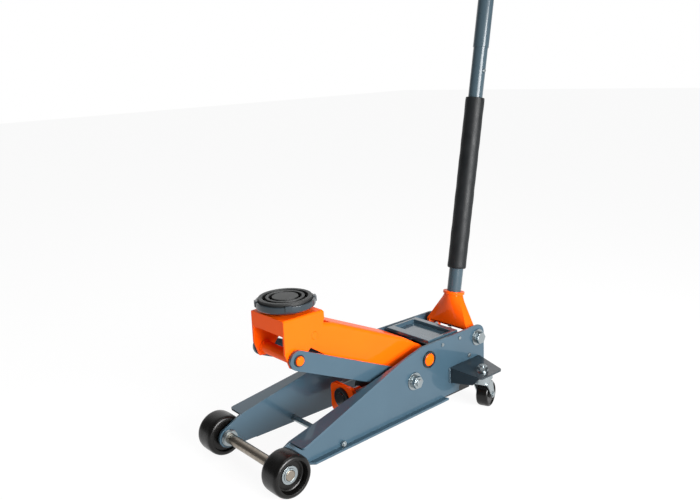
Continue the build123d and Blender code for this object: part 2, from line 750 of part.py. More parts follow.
yoke_face = frame_inner(yoke_back) + plate_thickness + 0.6
with BuildPart() as yoke_bolts:
    for side in (1, -1):
        low, high = sorted((side * (yoke_half_width - yoke_wall - 3), side * (yoke_face + 4)))
        cross_bar(yoke_back, yoke_height, yoke_bolt_radius, high, low)
        low, high = sorted((side * (yoke_face + 4), side * (yoke_face + 13)))
        hex_bar(yoke_back, yoke_height, 13.0, high, low)
save(yoke_bolts, "yoke_bolts")

with BuildPart() as frame_washers:
    places = (
        (link_bolt_back, link_bolt_height, link_bolt_radius, link_outer + 0.4, bolt_frame_face),
        (yoke_back, yoke_height, yoke_bolt_radius, yoke_half_width + 0.4, yoke_face),
    )
    for back, height, bolt, spacer_start, outside in places:
        for side in (1, -1):
            spans = ((spacer_start, frame_inner(back) - 0.5, bolt + 6),
                     (outside, outside + 2.0, bolt + 12), (outside + 2.2, outside + 4.0, bolt + 6))
            for start, end, radius in spans:
                low, high = sorted((side * start, side * end))
                cross_bar(back, height, radius, high, low)
        cross_bar(back, height, bolt, 130, -130, Mode.SUBTRACT)
save(frame_washers, "frame_washers")


# ---------------------------------------------------------------- handle
button_radius = 4.2
button_plane = Plane(origin=up_handle(detent_distance).origin, x_dir=handle_axis, z_dir=(0, 1, 0))
with BuildPart() as lower_tube:
    handle_bar(lower_tube_start, lower_tube_end, tube_radius)
    handle_bar(lower_tube_start + 6, lower_tube_end + 1, tube_radius - tube_wall, Mode.SUBTRACT)
    with BuildSketch(button_plane) as button_hole:
        Circle(button_radius + running_clearance)
    extrude(button_hole.sketch, amount=tube_radius + 1, mode=Mode.SUBTRACT)
save(lower_tube, "lower_tube")

with BuildPart() as handle_grip:
    handle_bar(grip_start, grip_end, grip_radius)
    fillet(handle_grip.edges().filter_by(GeomType.CIRCLE), 3)
    handle_bar(grip_start - 1, grip_end + 1, tube_radius, Mode.SUBTRACT)
save(handle_grip, "handle_grip")

with BuildPart() as upper_tube:
    handle_bar(upper_tube_start, upper_tube_end, upper_tube_radius)
    handle_bar(upper_tube_start - 1, upper_tube_end + 1, tube_radius, Mode.SUBTRACT)
save(upper_tube, "upper_tube")

with BuildPart() as end_plug:
    handle_bar(upper_tube_end - 18, upper_tube_end - 3, tube_radius)
save(end_plug, "end_plug")

with BuildPart() as release_shaft:
    handle_bar(9, lower_tube_start, 6)
save(release_shaft, "release_shaft")

with BuildPart() as release_valve:
    with Locations(up_handle(0)):
        Sphere(7)
    handle_bar(valve_tip, -4, valve_rod_radius)
save(release_valve, "release_valve")

with BuildPart() as detent_button:
    with BuildSketch(button_plane.offset(9)):
        Circle(button_radius)
    extrude(amount=tube_radius - 9 + 3)
save(detent_button, "detent_button")


# ---------------------------------------------------------------- top cover
cover_inner = 66.0
cover_flange_bottom = 149.0
with BuildPart() as top_cover:
    with BuildSketch(Plane.XY.offset(cover_step_height - sheet)):
        Polygon(
            (fore(cover_front_back), frame_inner(cover_front_back) - plate_gap),
            (fore(cover_rear_back), frame_inner(cover_rear_back) - plate_gap),
            (fore(cover_rear_back), -frame_inner(cover_rear_back) + plate_gap),
            (fore(cover_front_back), -frame_inner(cover_front_back) + plate_gap), align=None)
    extrude(amount=sheet)
    block(cover_front_back, cover_rear_back, -cover_step_half_width, cover_step_half_width,
          cover_step_height - sheet, cover_top)
    block(cover_front_back + sheet, cover_rear_back + 1, -cover_inner, cover_inner,
          cover_step_height - sheet - 1, cover_top - sheet, Mode.SUBTRACT)
    for side in (1, -1):
        low, high = sorted((side * cover_inner, side * (cover_inner + 6)))
        block(cover_front_back + 22, cover_rear_back, low, high, cover_flange_bottom, cover_step_height)
    block(tray_front_back - sheet, tray_rear_back + sheet, -tray_half_width - sheet,
          tray_half_width + sheet, cover_top - tray_depth - sheet, cover_top)
    block(tray_front_back, tray_rear_back, -tray_half_width, tray_half_width,
          cover_top - tray_depth, cover_top + 1, Mode.SUBTRACT)
save(top_cover, "top_cover")

with BuildPart() as cover_screws:
    for back in (479, 539):
        for side in (1, -1):
            face = frame_inner(back) + plate_thickness + 0.3
            low, high = sorted((side * face, side * (face + 1.8)))
            cross_bar(back, 155.5, 4, high, low)
save(cover_screws, "cover_screws")


# ---------------------------------------------------------------- caster brackets
bracket_front = 502.0
bracket_rear = 576.0
bracket_outer = 176.0
bracket_inner = frame_inner(bracket_front) + plate_thickness + 0.3
skirt_drop = 34.0
with BuildPart() as caster_bracket:
    with BuildSketch(Plane.XY.offset(caster_plate_top - caster_plate_wall)):
        Polygon((fore(bracket_front), bracket_inner), (fore(bracket_front), bracket_outer),
                (fore(bracket_rear), bracket_outer), (fore(609), bracket_inner), align=None)
        fillet(vertices().group_by(Axis.Y)[-1], 10)
    extrude(amount=caster_plate_wall)
    skirt_plane = Plane(origin=(fore(bracket_front + caster_plate_wall), 0, caster_plate_top - caster_plate_wall),
                        x_dir=(0, 1, 0), z_dir=(1, 0, 0))
    with BuildSketch(skirt_plane):
        Polygon((bracket_inner, 0), (bracket_outer - 6, 0), (bracket_outer - 10, -3),
                (caster_side, -20),
                (bracket_inner, -skirt_drop), align=None)
    extrude(amount=caster_plate_wall)
    with BuildSketch(Plane.XY.offset(60)) as stem_hole:
        with Locations((fore(caster_back), caster_side)):
            Circle(6.3)
    extrude(stem_hole.sketch, amount=60, mode=Mode.SUBTRACT)
save_pair(caster_bracket, "caster_bracket")


# ---------------------------------------------------------------- casters
def upright(x, y, z_low, z_high, radius, mode=Mode.ADD):
    """Add or cut an upright round bar."""
    with BuildSketch(Plane.XY.offset(z_low)) as section:
        with Locations((x, y)):
            Circle(radius)
    extrude(section.sketch, amount=z_high - z_low, mode=mode)


race_bottom = 76.0
fork_top = 75.6
fork_deck = fork_top - 9
plate_under = caster_plate_top - caster_plate_wall
stem_radius = 6.0
stem_x = fore(caster_back)
heading = radians(caster_heading)
rearward = Vector(-cos(heading), -sin(heading), 0)
sideways = Vector(-sin(heading), cos(heading), 0)

with BuildPart() as caster_races:
    for side in (1, -1):
        upright(stem_x, side * caster_side, race_bottom, plate_under - 0.3, 23)
        upright(stem_x, side * caster_side, race_bottom - 1, plate_under + 1, stem_radius, Mode.SUBTRACT)
save(caster_races, "caster_races")

with BuildPart() as caster_stems:
    for side in (1, -1):
        stem_y = side * caster_side
        upright(stem_x, stem_y, 62, caster_plate_top + 16, stem_radius)
        upright(stem_x, stem_y, caster_plate_top + 0.3, caster_plate_top + 2.6, 13)
        upright(stem_x, stem_y, caster_plate_top + 2.6, caster_plate_top + 4.4, 10.5)
        with BuildSketch(Plane.XY.offset(caster_plate_top + 4.4)) as nut:
            with Locations((stem_x, stem_y)):
                RegularPolygon(10, 6, rotation=12, major_radius=False)
        extrude(nut.sketch, amount=8.5)
save(caster_stems, "caster_stems")


def caster(name, stem_y):
    """One caster's swivel fork, riveted axle and wheel, trailing behind its stem."""
    wheel_centre = Vector(stem_x, stem_y, caster_wheel_radius) + rearward * caster_trail

    def wheel_plane(offset):
        """Plane square to the caster's axle at this distance from the wheel's middle."""
        return Plane(origin=wheel_centre + sideways * offset, x_dir=rearward * -1, z_dir=sideways * -1)

    fork_outer_half = fork_inner_half + fork_wall
    deck_above_axle = fork_deck - caster_wheel_radius
    with BuildPart() as caster_fork:
        upright(stem_x, stem_y, fork_deck, fork_top, 19)
        for offset in (fork_outer_half, -fork_inner_half):
            with BuildSketch(wheel_plane(offset)) as leg:
                with BuildLine():
                    Polyline((caster_trail + 15, deck_above_axle), (caster_trail - 16, deck_above_axle),
                             (-9, 0), (-6, -7), (6, -7), (10, 0), (caster_trail + 15, deck_above_axle))
                make_face()
            extrude(leg.sketch, amount=fork_wall)
        deck_plane = Plane(origin=(stem_x, stem_y, fork_deck), x_dir=rearward * -1, z_dir=(0, 0, 1))
        with BuildSketch(deck_plane) as deck:
            Rectangle(31, 2 * fork_outer_half)
        extrude(deck.sketch, amount=-fork_wall)
        with BuildSketch(wheel_plane(40)) as axle_hole:
            Circle(caster_axle_radius)
        extrude(axle_hole.sketch, amount=80, mode=Mode.SUBTRACT)
        upright(stem_x, stem_y, 55, 90, stem_radius + running_clearance, Mode.SUBTRACT)
    save(caster_fork, f"caster_fork_{name}")

    with BuildPart() as caster_axle:
        spans = ((fork_outer_half, 2 * fork_outer_half, caster_axle_radius),
                 (fork_outer_half + 2.5, 2.5, 6), (-fork_outer_half, 2.5, 6))
        for offset, length, radius in spans:
            with BuildSketch(wheel_plane(offset)) as rivet:
                Circle(radius)
            extrude(rivet.sketch, amount=length)
    save(caster_axle, f"caster_axle_{name}")

    with BuildPart() as caster_wheel:
        with BuildSketch(wheel_plane(caster_wheel_width / 2)) as tyre:
            Circle(caster_wheel_radius)
        extrude(tyre.sketch, amount=caster_wheel_width)
        fillet(caster_wheel.edges().filter_by(GeomType.CIRCLE), 4)
        with BuildSketch(wheel_plane(40)) as wheel_bore:
            Circle(caster_axle_radius + running_clearance)
        extrude(wheel_bore.sketch, amount=80, mode=Mode.SUBTRACT)
    save(caster_wheel, f"caster_wheel_{name}")


caster("left", caster_side)
caster("right", -caster_side)
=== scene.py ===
import json
from math import ceil, cos, pi, radians, sin

import bmesh
import bpy
from mathutils import Matrix, Quaternion, Vector

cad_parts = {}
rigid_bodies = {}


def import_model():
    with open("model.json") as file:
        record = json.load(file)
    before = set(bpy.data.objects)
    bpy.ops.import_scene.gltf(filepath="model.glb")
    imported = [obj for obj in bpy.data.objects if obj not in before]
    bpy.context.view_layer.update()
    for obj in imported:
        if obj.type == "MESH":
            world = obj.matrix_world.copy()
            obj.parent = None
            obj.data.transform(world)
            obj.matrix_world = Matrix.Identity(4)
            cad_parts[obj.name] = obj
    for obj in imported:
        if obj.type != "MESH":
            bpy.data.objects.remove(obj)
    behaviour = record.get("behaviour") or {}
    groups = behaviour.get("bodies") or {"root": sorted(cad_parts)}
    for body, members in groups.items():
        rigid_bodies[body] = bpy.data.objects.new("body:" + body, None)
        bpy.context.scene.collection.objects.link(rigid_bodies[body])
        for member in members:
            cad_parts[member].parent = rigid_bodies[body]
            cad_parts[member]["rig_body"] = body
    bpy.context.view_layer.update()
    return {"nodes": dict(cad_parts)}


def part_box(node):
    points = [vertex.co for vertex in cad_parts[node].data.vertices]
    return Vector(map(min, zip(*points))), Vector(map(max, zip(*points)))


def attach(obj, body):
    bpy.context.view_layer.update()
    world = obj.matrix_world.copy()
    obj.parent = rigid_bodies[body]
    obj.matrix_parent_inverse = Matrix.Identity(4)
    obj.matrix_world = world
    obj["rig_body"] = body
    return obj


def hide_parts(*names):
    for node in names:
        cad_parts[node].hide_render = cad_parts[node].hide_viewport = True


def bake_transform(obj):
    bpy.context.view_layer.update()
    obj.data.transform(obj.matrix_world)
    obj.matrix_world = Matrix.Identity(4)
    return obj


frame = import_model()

mm = 0.001


# ---- Studio ----------------------------------------------------------------
# A white floor under a broad overhead box. A low box of light on the jack's left makes the key,
# and a pale wall far round to the right keeps the enamel's dark side from going dead.
def linear(code, alpha=1.0):
    """An sRGB hex colour as linear red, green, blue and alpha."""
    channels = [int(code[i:i + 2], 16) / 255 for i in (0, 2, 4)]
    return tuple(c / 12.92 if c <= 0.04045 else ((c + 0.055) / 1.055) ** 2.4 for c in channels) + (alpha,)


def add_node(tree, kind, settings=None, links=None):
    """Add a node, set its properties and inputs, and join its inputs to other nodes' outputs."""
    node = tree.nodes.new("ShaderNode" + kind)
    for key, value in (settings or {}).items():
        if isinstance(key, str) and hasattr(node, key):
            setattr(node, key, value)
        else:
            node.inputs[key].default_value = value
    for key, source in (links or {}).items():
        tree.links.new(source, node.inputs[key])
    return node


def new_material(name):
    """An empty node material and its tree, with the output node left for the shader."""
    material = bpy.data.materials.new(name)
    material.use_nodes = True
    material.node_tree.nodes.clear()
    return material, material.node_tree


def close_material(tree, settings, links):
    """Finish a tree with one principled shader."""
    shader = add_node(tree, "BsdfPrincipled", settings, links)
    add_node(tree, "OutputMaterial", {}, {"Surface": shader.outputs[0]})


bpy.context.scene.view_settings.view_transform = "Standard"
air = bpy.data.worlds.new("studio_air")
bpy.context.scene.world = air
air.use_nodes = True
air.node_tree.nodes.clear()
seen = add_node(air.node_tree, "Background", {"Color": (1.0, 1.0, 1.0, 1.0), "Strength": 1.0})
outlook = add_node(air.node_tree, "TexCoord").outputs["Generated"]
facing = add_node(air.node_tree, "VectorMath", {"operation": "DOT_PRODUCT", 1: (-0.6, -0.78, 0.15)},
                  {0: outlook})
wall = add_node(air.node_tree, "MapRange", {"interpolation_type": "SMOOTHSTEP", "From Min": 0.45,
                                            "From Max": 0.9, "To Min": 0.16, "To Max": 1.1},
                {"Value": facing.outputs["Value"]})
felt = add_node(air.node_tree, "Background", {"Color": (1.0, 1.0, 1.0, 1.0)}, {"Strength": wall.outputs[0]})
ray = add_node(air.node_tree, "LightPath")
air_mix = add_node(air.node_tree, "MixShader", {}, {0: ray.outputs["Is Camera Ray"],
                                                    1: felt.outputs[0], 2: seen.outputs[0]})
add_node(air.node_tree, "OutputWorld", {}, {"Surface": air_mix.outputs[0]})

board_paint, tree = new_material("matt_white_board")
close_material(tree, {"Base Color": linear("5A5A5A"), "Roughness": 0.9, "Specular IOR Level": 0.0,
                      "Emission Color": linear("FFFFFF"), "Emission Strength": 0.92}, {})
board = bpy.data.meshes.new("floor_board")
bm = bmesh.new()
bmesh.ops.create_grid(bm, x_segments=1, y_segments=1, size=14.0)
bm.to_mesh(board)
bm.free()
board.materials.append(board_paint)
floor = bpy.data.objects.new("floor_board", board)
bpy.context.scene.collection.objects.link(floor)


def soft_box(name, place, aim, width, height, watts, spread):
    """A rectangular studio light at a place, turned towards an aim point."""
    lamp = bpy.data.lights.new(name, "AREA")
    lamp.shape, lamp.size, lamp.size_y = "RECTANGLE", width, height
    lamp.energy = watts
    lamp.spread = radians(spread)
    holder = bpy.data.objects.new(name, lamp)
    holder.location = place
    holder.rotation_mode = "QUATERNION"
    holder.rotation_quaternion = (Vector(aim) - Vector(place)).to_track_quat("-Z", "Y")
    bpy.context.scene.collection.objects.link(holder)


soft_box("overhead_box", (-0.1, 0.6, 2.6), (0.0, 0.0, 0.2), 2.0, 2.0, 24.0, 180)
soft_box("side_box", (0.1, 2.3, 0.8), (0.15, 0.0, 0.25), 1.6, 1.1, 36.0, 85)

# The camera stands ahead of the jack on its left, a little above the saddle, rolled slightly.
axle_low, axle_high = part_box("front_axle")
axle_middle = (axle_low + axle_high) / 2
view_azimuth, view_elevation, view_roll = radians(139.75), radians(13.88), radians(-2.8)
outward = Vector((sin(view_azimuth) * cos(view_elevation), -cos(view_azimuth) * cos(view_elevation),
                  sin(view_elevation)))
lens = bpy.data.cameras.new("studio_camera")
lens.sensor_width, lens.lens = 36.0, 38.81
lens.clip_start, lens.clip_end = 0.05, 60.0
camera = bpy.data.objects.new("studio_camera", lens)
camera.location = Vector((axle_middle.x + 725.33 * mm, 1192.82 * mm, 791.75 * mm))
camera.rotation_mode = "QUATERNION"
camera.rotation_quaternion = (-outward).to_track_quat("-Z", "Y") @ Quaternion((0, 0, 1), view_roll)
bpy.context.scene.collection.objects.link(camera)
bpy.context.scene.camera = camera


# ---- Side plates -----------------------------------------------------------
# Two plates pressed from 5 mm steel, with a flange over each wheel and a lip along the bottom.
# Blue-grey baking enamel over a shot-blasted surface: a clear, wet-looking gloss with fine orange
# peel, edges softened by the paint, and a lighter line where it has thinned over them.
def enamel(name, colour, shade, roughness=0.3, peel=0.12, gloss=0.6, under=0.2):
    """Baked enamel: a slightly uneven colour under a clear gloss with about 3 mm orange peel."""
    material, tree = new_material(name)
    place = add_node(tree, "TexCoord").outputs["Object"]
    drift = add_node(tree, "TexNoise", {"Scale": 1 / (70 * mm), "Detail": 3.0}, {"Vector": place})
    tint = add_node(tree, "MixRGB", {"Color1": linear(colour), "Color2": linear(shade)},
                    {"Fac": drift.outputs["Fac"]})
    ripple = add_node(tree, "TexNoise", {"Scale": 1 / (3 * mm), "Detail": 1.0}, {"Vector": place})
    grit = add_node(tree, "TexNoise", {"Scale": 1 / (0.7 * mm), "Detail": 2.0}, {"Vector": place})
    skin = add_node(tree, "Bump", {"Strength": peel, "Distance": 0.1 * mm}, {"Height": ripple.outputs["Fac"]})
    base = add_node(tree, "Bump", {"Strength": 0.25, "Distance": 0.05 * mm},
                    {"Height": grit.outputs["Fac"], "Normal": skin.outputs[0]})
    smear = add_node(tree, "TexNoise", {"Scale": 1 / (30 * mm), "Detail": 4.0}, {"Vector": place})
    dull = add_node(tree, "MapRange", {"From Min": 0.35, "From Max": 0.75, "To Min": roughness,
                                       "To Max": roughness + 0.12}, {"Value": smear.outputs["Fac"]})
    close_material(tree, {"IOR": 1.5, "Specular IOR Level": under, "Coat Weight": gloss,
                          "Coat Roughness": 0.03, "Coat IOR": 1.5},
                   {"Base Color": tint.outputs[0], "Roughness": dull.outputs[0],
                    "Normal": base.outputs[0], "Coat Normal": skin.outputs[0]})
    return material


def settle(name, bm, finish, body, nodes=(), crease=35):
    """Turn a bmesh into a shaded piece that rides on a body and stands for CAD nodes."""
    mesh = bpy.data.meshes.new(name)
    bm.to_mesh(mesh)
    bm.free()
    mesh.materials.append(finish)
    mesh.shade_smooth()
    mesh.set_sharp_from_angle(angle=radians(crease))
    piece = bpy.data.objects.new(name, mesh)
    bpy.context.scene.collection.objects.link(piece)
    weights = piece.modifiers.new("face_weights", "WEIGHTED_NORMAL")
    weights.keep_sharp = True
    if body:
        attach(piece, body)
    if nodes:
        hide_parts(*nodes)
    return piece


def eased(name, node, finish, width, corner=38, steps=2):
    """A copy of a CAD node with its sharp edges rounded to a width in millimetres."""
    bm = bmesh.new()
    bm.from_mesh(frame["nodes"][node].data)
    bmesh.ops.remove_doubles(bm, verts=bm.verts, dist=0.002 * mm)
    bmesh.ops.dissolve_limit(bm, angle_limit=radians(0.5), verts=bm.verts, edges=bm.edges)
    sharp = [e for e in bm.edges if len(e.link_faces) == 2 and e.calc_face_angle(0.0) > radians(corner)]
    bmesh.ops.bevel(bm, geom=sharp, offset=width * mm, offset_type="OFFSET", affect="EDGES",
                    segments=steps, profile=0.5, material=-1, clamp_overlap=True, loop_slide=True)
    return settle(name, bm, finish, frame["nodes"][node]["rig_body"], [node])


blue_enamel = enamel("blue_grey_enamel", "364C59", "304552")
for side in ("left", "right"):
    eased(f"side_plate_{side}_pressing", f"side_plate_{side}", blue_enamel, 1.0)


# ---- Weld beads ------------------------------------------------------------
# Brackets and tubes are held by hand-laid fillet welds, painted over with the rest. Each bead is
# a run of overlapping ripples about 5 mm wide, one for each pause of the torch.
def weld(name, places, width, finish, body):
    """A run of overlapping flattened ripples along a list of points."""
    bm = bmesh.new()
    for before, after in zip(places, places[1:]):
        heading = (after - before).to_track_quat("X", "Z").to_matrix().to_4x4()
        count = max(1, ceil((after - before).length / (0.32 * width)))
        for i in range(count):
            spot = before.lerp(after, (i + 0.5) / count)
            size = width * (0.5 + 0.05 * sin(7.0 * i))
            ripple = Matrix.Translation(spot) @ heading @ Matrix.Diagonal((size * 0.75, size, size, 1.0))
            bmesh.ops.create_icosphere(bm, subdivisions=2, radius=1.0, matrix=ripple)
    return settle(name, bm, finish, body, crease=60)


def ring_places(centre, normal, radius, count=48):
    """Points round a circle, first and last the same."""
    turn = Vector(normal).to_track_quat("Z", "X")
    return [Vector(centre) + turn @ Vector((radius * cos(a), radius * sin(a), 0.0))
            for a in [2 * pi * i / count for i in range(count + 1)]]


# ---- Tool tray cover -------------------------------------------------------
# A lid pressed from 2 mm sheet and screwed between the side plates, sunk in the middle to hold
# small tools. Same enamel as the plates, and smoother, because it is drawn rather than blasted.
tray_enamel = enamel("tray_enamel", "384C58", "334651", roughness=0.2, peel=0.03, gloss=0.9)
eased("tray_cover_pressing", "top_cover", tray_enamel, 1.0)


# ---- Front wheels ----------------------------------------------------------
# Solid wheels moulded in black nylon, with a barrel tread, a deep dish on the outside and a plain
# hub. Moulded nylon has a dark, slightly oily gloss that breaks up where it has rolled.
def moulded(name, colour, paler_tone, roughness, grain, bump):
    """Moulded plastic: deep colour, soft gloss, and a grain given in millimetres."""
    material, tree = new_material(name)
    place = add_node(tree, "TexCoord").outputs["Object"]
    drift = add_node(tree, "TexNoise", {"Scale": 1 / (18 * mm), "Detail": 5.0}, {"Vector": place})
    tint = add_node(tree, "MixRGB", {"Color1": linear(colour), "Color2": linear(paler_tone)},
                    {"Fac": drift.outputs["Fac"]})
    fine = add_node(tree, "TexNoise", {"Scale": 1 / (grain * mm), "Detail": 3.0}, {"Vector": place})
    skin = add_node(tree, "Bump", {"Strength": bump, "Distance": 0.15 * mm}, {"Height": fine.outputs["Fac"]})
    gloss = add_node(tree, "MapRange", {"From Min": 0.3, "From Max": 0.7, "To Min": roughness,
                                        "To Max": roughness + 0.16}, {"Value": drift.outputs["Fac"]})
    close_material(tree, {"IOR": 1.5, "Specular IOR Level": 0.3},
                   {"Base Color": tint.outputs[0], "Roughness": gloss.outputs[0], "Normal": skin.outputs[0]})
    return material


def spun(name, outline, centre, direction, finish, body, nodes=(), steps=72, crease=35):
    """Spin an outline of (radius, along) millimetres round a direction through a centre."""
    bm = bmesh.new()
    corners = [bm.verts.new((r * mm, 0.0, a * mm)) for r, a in outline]
    edges = [bm.edges.new(pair) for pair in zip(corners, corners[1:] + corners[:1])
             if pair[0].co.x > 1e-7 or pair[1].co.x > 1e-7]
    bmesh.ops.spin(bm, geom=corners + edges, cent=(0, 0, 0), axis=(0, 0, 1), dvec=(0, 0, 0),
                   angle=2 * pi, steps=steps, use_merge=True, use_duplicate=False)
    bmesh.ops.remove_doubles(bm, verts=bm.verts, dist=0.002 * mm)
    bmesh.ops.recalc_face_normals(bm, faces=bm.faces)
    turn = Vector(direction).to_track_quat("Z", "X").to_matrix().to_4x4()
    bmesh.ops.transform(bm, matrix=Matrix.Translation(centre) @ turn, verts=bm.verts)
    return settle(name, bm, finish, body, nodes, crease)


black_nylon = moulded("black_moulded_nylon", "050505", "0A0908", 0.2, 0.9, 0.12)
for side, sign in (("left", 1), ("right", -1)):
    low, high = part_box(f"front_wheel_{side}")
    inner_face = low.y if sign > 0 else high.y
    wheel_place = Vector((axle_middle.x, inner_face, axle_middle.z))
    spun(f"front_wheel_{side}_moulding",
         [(11.2, 0), (18, 0), (19, 1), (19, 5), (32, 5), (33, 4), (33, 1), (34, 0), (37, 0), (39.5, 0.6),
          (41.6, 2.2), (42.9, 4.6), (43.5, 8), (43.8, 16), (43.8, 33), (43.5, 41), (42.9, 44.4),
          (41.6, 46.8), (39.5, 48.4), (37, 49), (35, 49), (33.6, 48.4), (33, 47), (32.3, 38), (31.4, 36),
          (29.6, 35), (28.6, 35), (28.0, 35.8), (27.0, 35.8), (26.4, 35), (11.2, 35)],
         wheel_place, (0, sign, 0), black_nylon, f"wheel_{side}", [f"front_wheel_{side}"])


# ---- Front axle ------------------------------------------------------------
# A 22 mm bright steel bar right across the frame. Collars and thin rings space the wheels, and
# a washer and ring hold each end. The bar has dulled and yellowed a little; the rings are zinc.
def plated(name, colour, tarnish, roughness, spread, lay=0.0):
    """Plated or bright steel: metal with cloudy tarnish, and drawing marks where lay is given."""
    material, tree = new_material(name)
    place = add_node(tree, "TexCoord").outputs["Object"]
    cloud = add_node(tree, "TexNoise", {"Scale": 1 / (9 * mm), "Detail": 4.0}, {"Vector": place})
    tint = add_node(tree, "MixRGB", {"Color1": linear(colour), "Color2": linear(tarnish)},
                    {"Fac": cloud.outputs["Fac"]})
    stretch = add_node(tree, "Mapping", {"Scale": (1 / (0.4 * mm), 1 / (30 * mm), 1 / (0.4 * mm))},
                       {"Vector": place})
    marks = add_node(tree, "TexNoise", {"Scale": 1.0, "Detail": 2.0}, {"Vector": stretch.outputs[0]})
    skin = add_node(tree, "Bump", {"Strength": lay, "Distance": 0.05 * mm}, {"Height": marks.outputs["Fac"]})
    gloss = add_node(tree, "MapRange", {"From Min": 0.3, "From Max": 0.7, "To Min": roughness,
                                        "To Max": roughness + spread}, {"Value": cloud.outputs["Fac"]})
    close_material(tree, {"Metallic": 1.0}, {"Base Color": tint.outputs[0], "Roughness": gloss.outputs[0],
                                             "Normal": skin.outputs[0]})
    return material


zinc = plated("bright_zinc_plate", "A9B2B5", "929B9E", 0.24, 0.16, 0.1)
bright_bar = plated("bright_drawn_bar", "A39B90", "857C70", 0.24, 0.14, 0.35)
eased("front_axle_bar", "front_axle", bright_bar, 0.4)
eased("axle_ring_set", "axle_rings", zinc, 0.5)
for sign in (1, -1):
    plate_face = axle_middle + Vector((0.0, sign * 84.2 * mm, 0.0))
    spun("axle_shims_" + ("left" if sign > 0 else "right"),
         [(11.3, 0), (17.5, 0), (18, 0.5), (17.5, 1.4), (15.6, 1.6), (15.6, 2.4), (17.2, 2.6), (17.6, 3.1),
          (17.2, 3.9), (14.6, 4.1), (14.6, 5.4), (16.2, 5.6), (16.6, 6.1), (16.2, 6.9), (11.3, 6.9)],
         plate_face, (0, -sign, 0), zinc, "frame")


# ---- Tie rod ---------------------------------------------------------------
# A zinc-plated rod that keeps the front of the plates apart, shouldered at the ends and held by
# small domed nuts outside.
eased("tie_rod_bar", "tie_rod", zinc, 0.5)


# ---- Lift arm --------------------------------------------------------------
# A deep channel folded from 6 mm steel, welded to its shaft and to a tube for the saddle pin.
# Thick orange enamel, saturated and wet looking, pooled smooth over the folded edges.
orange_enamel = enamel("orange_enamel", "FF5C08", "FA5606", roughness=0.28, peel=0.05, gloss=0.3, under=0.0)
eased("lift_arm_channel", "lift_arm", orange_enamel, 0.9)
eased("arm_shaft_bar", "arm_shaft", orange_enamel, 0.5)
eased("arm_nose_sleeve", "arm_nose_tube", orange_enamel, 0.5)
eased("crank_pins", "drive_pins", zinc, 0.5)


# ---- Shaft bushes ----------------------------------------------------------
# Bushings pressed into the side plates, standing a little proud round each end of the arm's
# shaft, in black enamel as a painted shadow ring round the shaft.
black_enamel = enamel("black_enamel", "101112", "18191A", roughness=0.35, peel=0.2)
# Painted shadow: the bushes are black so that a dark ring shows round the shaft ends.
eased("shaft_bush_pair", "shaft_bushes", black_enamel, 0.5)


# ---- Saddle bracket --------------------------------------------------------
# An inverted box bent from 6 mm plate, with a cross tube welded between its walls, riding on a
# pin through the arm's nose. Orange enamel like the arm.
eased("saddle_bracket_folding", "saddle_bracket", orange_enamel, 1.2)
eased("head_pin_bar", "head_pin", orange_enamel, 0.4)
eased("head_cross_tube_bar", "head_cross_tube", orange_enamel, 0.4)
eased("link_pin_bar", "link_pin", orange_enamel, 0.6)
eased("link_pin_rings", "link_washers", black_enamel, 0.3)
tube_low, tube_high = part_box("head_cross_tube")
tube_middle = (tube_low + tube_high) / 2
for sign in (1, -1):
    weld("cross_tube_weld_" + ("left" if sign > 0 else "right"),
         ring_places((tube_middle.x, sign * (tube_high.y - 1.2 * mm), tube_middle.z),
                     (0, 1, 0), 13.2 * mm, 20),
         4.0 * mm, orange_enamel, "head")


# ---- Saddle ----------------------------------------------------------------
# A cast dish with four small lugs on its rim, turning on a post, and a moulded rubber pad with
# three raised rings. The rubber's top faces are painted a paler grey as a painted highlight, with a
# dusty mottle, and its grooves are left black as painted shade.
dark_enamel = enamel("dark_grey_enamel", "222C33", "1C252B", roughness=0.35, peel=0.15)
eased("saddle_dish_casting", "saddle_dish", dark_enamel, 1.0)
eased("saddle_post_bar", "saddle_post", zinc, 0.6)
pad_low, pad_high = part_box("saddle_pad")
pad_middle = Vector(((pad_low.x + pad_high.x) / 2, (pad_low.y + pad_high.y) / 2, 0.0))

saddle_rubber, tree = new_material("moulded_saddle_rubber")
place = add_node(tree, "TexCoord").outputs["Object"]
height = add_node(tree, "SeparateXYZ", {}, {0: place}).outputs["Z"]
# Painted highlight and painted shade: a mask over the top 1.6 mm of the pad lifts the top faces to a paler
# grey, leaving the grooves black.
paler_tone = add_node(tree, "MapRange", {"From Min": pad_high.z - 1.6 * mm, "From Max": pad_high.z - 0.1 * mm},
                {"Value": height})
dust = add_node(tree, "TexNoise", {"Scale": 1 / (5 * mm), "Detail": 5.0}, {"Vector": place})
chalk = add_node(tree, "MapRange", {"From Min": 0.3, "From Max": 0.7, "To Min": 0.45, "To Max": 1.0},
                 {"Value": dust.outputs["Fac"]})
mottled_top_light = add_node(tree, "Math", {"operation": "MULTIPLY"}, {0: paler_tone.outputs[0], 1: chalk.outputs[0]})
tint = add_node(tree, "MixRGB", {"Color1": linear("101111"), "Color2": linear("343636")},
                {"Fac": mottled_top_light.outputs[0]})
grain = add_node(tree, "TexNoise", {"Scale": 1 / (0.8 * mm), "Detail": 3.0}, {"Vector": place})
skin = add_node(tree, "Bump", {"Strength": 0.35, "Distance": 0.2 * mm}, {"Height": grain.outputs["Fac"]})
close_material(tree, {"Roughness": 0.55, "IOR": 1.52},
               {"Base Color": tint.outputs[0], "Normal": skin.outputs[0]})
spun("saddle_pad_moulding",
     [(0, -22.5), (34, -22.5), (54.8, -14.4), (54.9, -1.2), (54.1, -0.2), (53.3, 0), (47.6, 0), (46.8, -0.3),
      (46.4, -1.0), (45.9, -5.6), (45.2, -6), (40.9, -6), (40.2, -5.6), (39.7, -1.0), (39.3, -0.3),
      (38.6, 0), (34.5, 0), (33.8, -0.3), (33.4, -1.0), (32.9, -5.6), (32.2, -6), (28.1, -6), (27.4, -5.6),
      (26.9, -1.0), (26.5, -0.3), (25.8, 0), (0, 0)],
     pad_middle + Vector((0.0, 0.0, pad_high.z)), (0, 0, 1), saddle_rubber, "saddle",
     ["saddle_pad"], steps=96)


